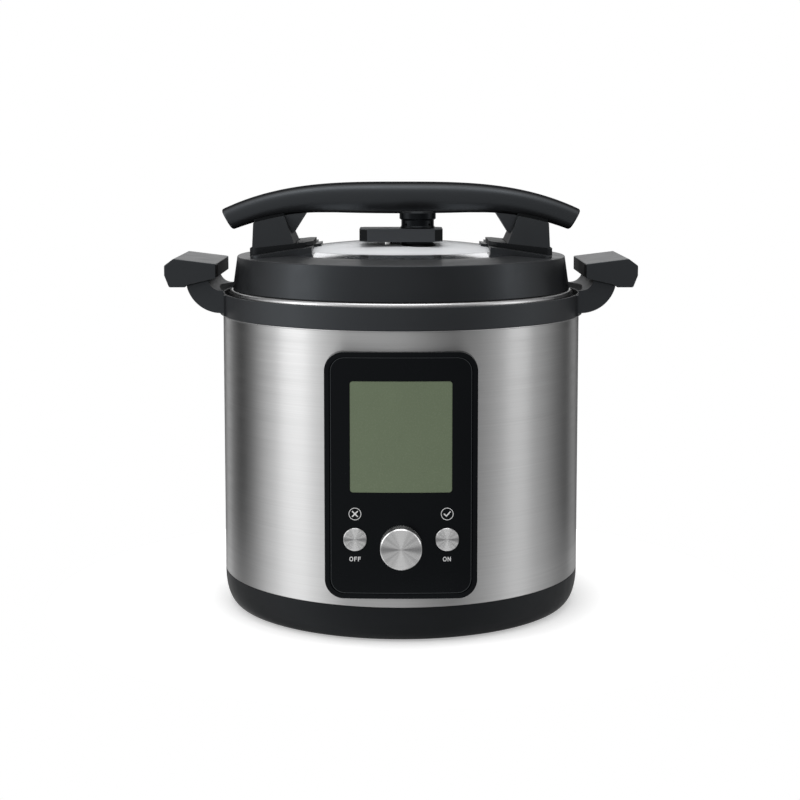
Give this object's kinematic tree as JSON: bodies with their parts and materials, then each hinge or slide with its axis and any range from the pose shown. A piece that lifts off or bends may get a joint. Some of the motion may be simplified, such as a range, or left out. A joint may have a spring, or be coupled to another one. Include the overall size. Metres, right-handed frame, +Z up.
{
  "type": "electric yogurt maker",
  "caption": "Electric yogurt maker of the multicooker kind: steel drum, removable pot, twist-off lid with a bridge handle, side grips, and a front panel with a dial and push buttons.",
  "frame": {"origin": "on the axis of the drum, at the height of the table that the rubber feet stand on", "axes": "+Z up along the drum's axis, -Y towards the control panel, +X towards the side grip on the right of someone facing the panel"},
  "size_m": [0.3356, 0.2904, 0.3074],
  "materials": {
    "black_plastic": "satin, very finely textured",
    "gloss_black": "gloss",
    "blue_plastic": "matt",
    "white_plastic": "matt",
    "yellow_tape": "matt",
    "clear_plastic": "clear plastic, gloss",
    "rubber": "matt",
    "dark_rubber": "matt",
    "silicone": "satin silicone",
    "red_silicone": "satin silicone",
    "brushed_steel": "brushed around the drum",
    "polished_steel": "satin to polished",
    "spring_steel": "bare spring wire",
    "zinc_steel": "bright zinc plate",
    "spun_metal": "spun, with a bright bevel",
    "cast_aluminium": "machined casting",
    "heater_sheath": "heat-darkened",
    "brass": "bare",
    "ceramic": "matt ceramic sleeve",
    "circuit_board": "solder mask, satin",
    "lead_sleeve": "matt insulation",
    "ribbon": "matt",
    "display_glass": "smooth display, switched off"
  },
  "bodies": {
    "cooker": {"base_tub": "black_plastic", "rubber_feet": "rubber", "base_screws": "zinc_steel", "housing_drum": "brushed_steel", "collar_ring": "black_plastic", "liner_pot": "polished_steel", "heater_plate": "cast_aluminium", "heater_tube": "heater_sheath", "heater_screws": "zinc_steel", "probe_bracket": "zinc_steel", "probe_spring": "spring_steel", "thermal_fuse": "ceramic", "power_board": "circuit_board", "board_relay": "blue_plastic", "board_transformer": "yellow_tape", "small_screws": "zinc_steel", "inlet_socket": "black_plastic", "inlet_pins": "brass", "mains_leads": "lead_sleeve", "ribbon_cable": "ribbon", "control_bezel": "gloss_black", "control_fascia": "gloss_black", "lcd_glass": "display_glass", "lcd_frame": "white_plastic", "display_board": "circuit_board", "encoder_body": "zinc_steel", "button_switches": "black_plastic", "control_tray": "black_plastic", "handle_arm_left": "black_plastic", "handle_arm_right": "black_plastic", "handle_grip_left": "black_plastic", "handle_grip_right": "black_plastic", "handle_screws": "zinc_steel", "cup_bracket": "black_plastic"},
    "dial": {"dial_knob": "spun_metal", "encoder_shaft": "zinc_steel"},
    "cancel_push": {"cancel_button": "spun_metal"},
    "start_push": {"start_button": "spun_metal"},
    "probe": {"probe_cup": "cast_aluminium"},
    "cup": {"condensate_cup": "clear_plastic"},
    "pot": {"inner_pot": "polished_steel"},
    "lid_seal": {"sealing_ring": "silicone", "ring_cage": "spring_steel"},
    "lid": {"lid_shell": "polished_steel", "lid_ring": "black_plastic", "ring_screws": "zinc_steel", "foot_left": "black_plastic", "foot_right": "black_plastic", "pillar_left": "black_plastic", "pillar_right": "black_plastic", "bridge_handle": "black_plastic", "handle_bolts": "zinc_steel", "valve_cover": "black_plastic", "vent_pipe": "polished_steel", "vent_nut": "zinc_steel", "valve_gasket": "dark_rubber", "vent_shield": "polished_steel"},
    "valve": {"valve_knob": "gloss_black"},
    "float": {"float_pin": "polished_steel", "float_seal": "red_silicone"}
  },
  "joints": [
    {"name": "pot_lift", "type": "slide", "parent": "cooker", "child": "pot", "axis": [0, 0, 1], "range_m": [0, 0.18]},
    {"name": "lid_lift", "type": "slide", "parent": "pot", "child": "lid_seal", "axis": [0, 0, 1], "range_m": [0, 0.12]},
    {"name": "lid_turn", "type": "hinge", "parent": "lid_seal", "child": "lid", "pos_m": [0, 0, 0.24], "axis": [0, 0, -1], "range_deg": [0, 22.5]},
    {"name": "valve_turn", "type": "hinge", "parent": "lid", "child": "valve", "pos_m": [0.0118, -0.034, 0.28], "axis": [0, 0, 1], "range_deg": [0, 60]},
    {"name": "float_rise", "type": "slide", "parent": "lid", "child": "float", "axis": [0, 0, 1], "range_m": [0, 0.006]},
    {"name": "dial_spin", "type": "hinge", "parent": "cooker", "child": "dial", "pos_m": [0, -0.14, 0.0685], "axis": [0, -1, 0], "continuous": true},
    {"name": "cancel_press", "type": "slide", "parent": "cooker", "child": "cancel_push", "axis": [0, 1, 0], "range_m": [0, 0.0008], "stiffness_N_per_m": 1500, "springref_m": -0.0004},
    {"name": "start_press", "type": "slide", "parent": "cooker", "child": "start_push", "axis": [0, 1, 0], "range_m": [0, 0.0008], "stiffness_N_per_m": 1500, "springref_m": -0.0004},
    {"name": "probe_press", "type": "slide", "parent": "cooker", "child": "probe", "axis": [0, 0, -1], "range_m": [0, 0.003], "stiffness_N_per_m": 400, "springref_m": -0.004, "deforming": ["probe_spring"]},
    {"name": "cup_slide", "type": "slide", "parent": "cooker", "child": "cup", "axis": [0, 1, 0], "range_m": [0, 0.04]}
  ]
}
